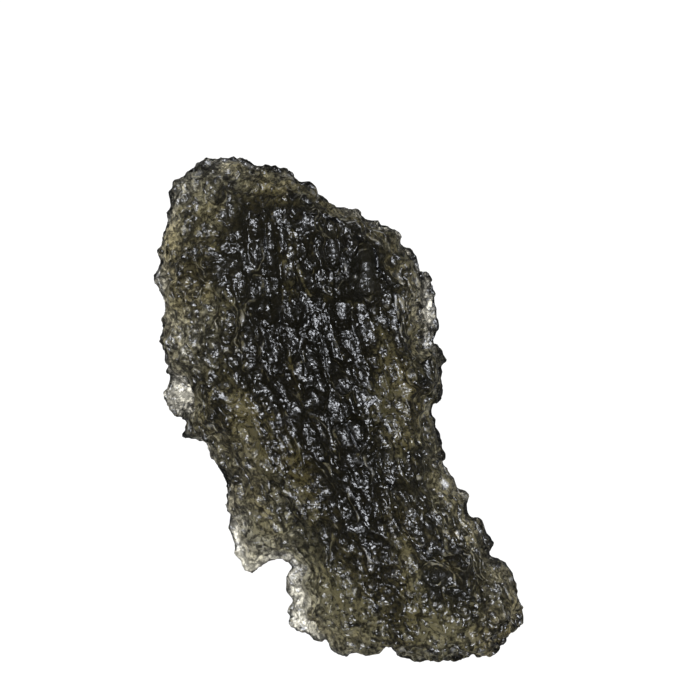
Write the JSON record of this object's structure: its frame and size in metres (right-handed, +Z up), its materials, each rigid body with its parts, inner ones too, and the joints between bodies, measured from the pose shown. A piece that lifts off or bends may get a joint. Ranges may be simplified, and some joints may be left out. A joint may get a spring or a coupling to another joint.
{
  "type": "raw moldavite",
  "caption": "Raw moldavite: a flattish, elongated piece of olive-green natural glass with flow-aligned etch pits, folded flanks, a thin rim and pale translucent ledges.",
  "frame": {"origin": "under the middle of the stone's outline box, on the surface that it rests on", "axes": "+Z up through the stone's thickness, out of the etched face; +Y along its length, towards the narrow cap; +X across, towards the side with the toe"},
  "size_m": [0.0222, 0.03, 0.0087],
  "materials": {
    "moldavite_glass": "etched, satin, deep olive-green body glass"
  },
  "bodies": {
    "root": {"moldavite": "moldavite_glass"}
  },
  "joints": []
}
